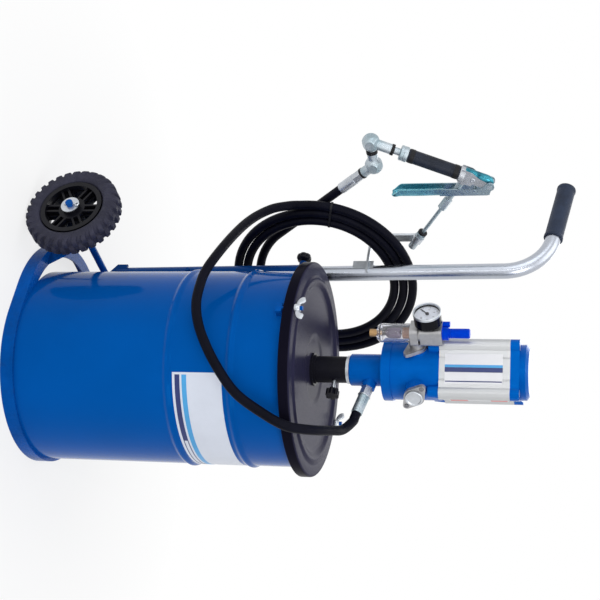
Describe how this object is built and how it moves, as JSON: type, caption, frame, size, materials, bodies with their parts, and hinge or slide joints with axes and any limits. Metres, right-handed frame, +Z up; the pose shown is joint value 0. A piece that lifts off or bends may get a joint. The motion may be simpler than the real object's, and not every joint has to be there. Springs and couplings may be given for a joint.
{
  "type": "pneumatic grease pump",
  "caption": "Air driven grease pump on a blue drum with a wheeled base ring, pull handle, coiled hose and hand control gun.",
  "frame": {"origin": "on the floor under the axis of the drum", "axes": "+Z up along the drum's axis, +Y to the rear, where the wheels and the handle are, X along the axle"},
  "size_m": [0.5236, 0.6455, 1.0249],
  "materials": {
    "drum_paint": "glossy blue enamel",
    "frame_paint": "glossy blue enamel, with weld marks",
    "lid_paint": "semi-gloss dark grey enamel",
    "sleeve_paint": "satin black",
    "zinc_plate": "bright zinc plate",
    "handle_chrome": "polished tube",
    "tyre_rubber": "matt black rubber",
    "hub_plastic": "moulded black plastic",
    "grip_rubber": "moulded black rubber",
    "hose_rubber": "black hose cover with a fine fabric print",
    "seal_rubber": "black rubber",
    "knob_plastic": "moulded black plastic",
    "pump_paint": "blue enamel over cast metal",
    "motor_alloy": "natural anodised extrusion",
    "brass_metal": "plain brass and bronze",
    "bowl_plastic": "clear moulded bowl",
    "gauge_black": "black case",
    "gauge_glass": "clear window",
    "knob_blue": "blue moulded plastic"
  },
  "bodies": {
    "root": {"drum_shell": "drum_paint", "base_frame": "frame_paint", "axle_rod": "zinc_plate", "column_tube": "frame_paint", "lid_studs": "frame_paint", "lid": "lid_paint", "lid_gasket": "seal_rubber", "lid_adapter": "sleeve_paint", "wheel_washers": "zinc_plate", "cotter_pins": "zinc_plate", "hose_lead": "hose_rubber"},
    "wheel_left": {"tyre_left": "tyre_rubber", "hub_left": "hub_plastic"},
    "wheel_right": {"tyre_right": "tyre_rubber", "hub_right": "hub_plastic"},
    "wing_nut_left": {"wing_nut_left": "zinc_plate"},
    "wing_nut_right": {"wing_nut_right": "zinc_plate"},
    "handle": {"handle_tube": "handle_chrome", "handle_grip": "grip_rubber", "hose_hanger": "zinc_plate", "hose_coil": "hose_rubber", "hose_tail": "hose_rubber", "tail_ferrule": "zinc_plate", "swivel_hose_elbow": "zinc_plate", "swivel_seals": "seal_rubber", "swivel_gun_elbow": "zinc_plate", "gun_inlet": "zinc_plate", "gun_grip": "grip_rubber", "gun_body": "zinc_plate", "gun_outlet": "zinc_plate", "gun_coupler": "zinc_plate", "lever_pin": "zinc_plate"},
    "handle_knob": {"handle_knob": "knob_plastic"},
    "pump_knob": {"pump_knob": "knob_plastic"},
    "gun_lever": {"gun_lever": "zinc_plate"},
    "valve_stem": {"valve_stem": "zinc_plate"},
    "pump": {"pump_collar": "zinc_plate", "pump_body": "pump_paint", "suction_tube": "zinc_plate", "foot_valve": "zinc_plate", "outlet_fitting": "zinc_plate", "lead_ferrule": "zinc_plate", "valve_housing": "pump_paint", "inlet_flange": "zinc_plate", "regulator_body": "zinc_plate", "regulator_bonnet": "knob_blue", "filter_bowl": "bowl_plastic", "filter_element": "brass_metal", "gauge_case": "gauge_black", "gauge_lens": "gauge_glass", "exhaust_muffler": "zinc_plate", "motor_cylinder": "motor_alloy", "top_cap": "pump_paint", "tie_bolts": "zinc_plate"},
    "air_piston": {"air_piston": "motor_alloy", "piston_rod": "zinc_plate"},
    "regulator_knob": {"regulator_knob": "knob_blue"},
    "gauge_needle": {"gauge_needle": "gauge_black"},
    "bowl_drain": {"bowl_drain": "brass_metal"},
    "follower": {"follower_plate": "seal_rubber"}
  },
  "joints": [
    {"name": "wheel_left_spin", "type": "hinge", "parent": "root", "child": "wheel_left", "pos_m": [-0.231, 0.2, 0.0925], "axis": [1, 0, 0], "continuous": true},
    {"name": "wheel_right_spin", "type": "hinge", "parent": "root", "child": "wheel_right", "pos_m": [0.231, 0.2, 0.0925], "axis": [1, 0, 0], "continuous": true},
    {"name": "handle_slide", "type": "slide", "parent": "root", "child": "handle", "axis": [0, 0.0166, 0.9999], "range_m": [0, 0.06]},
    {"name": "handle_knob_turn", "type": "hinge", "parent": "root", "child": "handle_knob", "pos_m": [0, 0.27025, 0.49332], "axis": [0, 0.9999, -0.0166], "range_deg": [0, 720]},
    {"name": "pump_slide", "type": "slide", "parent": "root", "child": "pump", "axis": [0, 0, 1], "range_m": [0, 0.1]},
    {"name": "pump_knob_turn", "type": "hinge", "parent": "root", "child": "pump_knob", "pos_m": [0, -0.053, 0.597], "axis": [0, -1, 0], "range_deg": [0, 720]},
    {"name": "wing_nut_left_turn", "type": "hinge", "parent": "root", "child": "wing_nut_left", "pos_m": [-0.1962, 0, 0.5634], "axis": [0, 0, 1], "range_deg": [0, 1440]},
    {"name": "wing_nut_right_turn", "type": "hinge", "parent": "root", "child": "wing_nut_right", "pos_m": [0.1962, 0, 0.5634], "axis": [0, 0, 1], "range_deg": [0, 1440]},
    {"name": "follower_slide", "type": "slide", "parent": "root", "child": "follower", "axis": [0, 0, 1], "range_m": [0, 0.45]},
    {"name": "piston_slide", "type": "slide", "parent": "pump", "child": "air_piston", "axis": [0, 0, 1], "range_m": [0, 0.075]},
    {"name": "regulator_knob_turn", "type": "hinge", "parent": "pump", "child": "regulator_knob", "pos_m": [-0.08903, 0.02319, 0.84], "axis": [0, 0, 1], "range_deg": [0, 1080]},
    {"name": "bowl_drain_turn", "type": "hinge", "parent": "pump", "child": "bowl_drain", "pos_m": [-0.08903, 0.02319, 0.68], "axis": [0, 0, 1], "range_deg": [0, 180]},
    {"name": "gauge_needle_turn", "type": "hinge", "parent": "pump", "child": "gauge_needle", "pos_m": [-0.13064, 0.03403, 0.783], "axis": [0.9677, -0.2521, 0], "range_deg": [0, 270], "stiffness_Nm_per_rad": 0.0002, "springref_deg": -17.19},
    {"name": "gun_lever_squeeze", "type": "hinge", "parent": "handle", "child": "gun_lever", "pos_m": [-0.14597, 0.32913, 0.8754], "axis": [0.2419, 0.9703, 0], "range_deg": [0, 16], "stiffness_Nm_per_rad": 1.2, "springref_deg": -17.19},
    {"name": "valve_stem_travel", "type": "slide", "parent": "handle", "child": "valve_stem", "axis": [-0.8822, 0.22, 0.4163], "range_m": [0, 0.0065]}
  ],
  "couplings": [
    {"joint": "valve_stem_travel", "follows": "gun_lever_squeeze", "m_per_rad": 0.022}
  ]
}
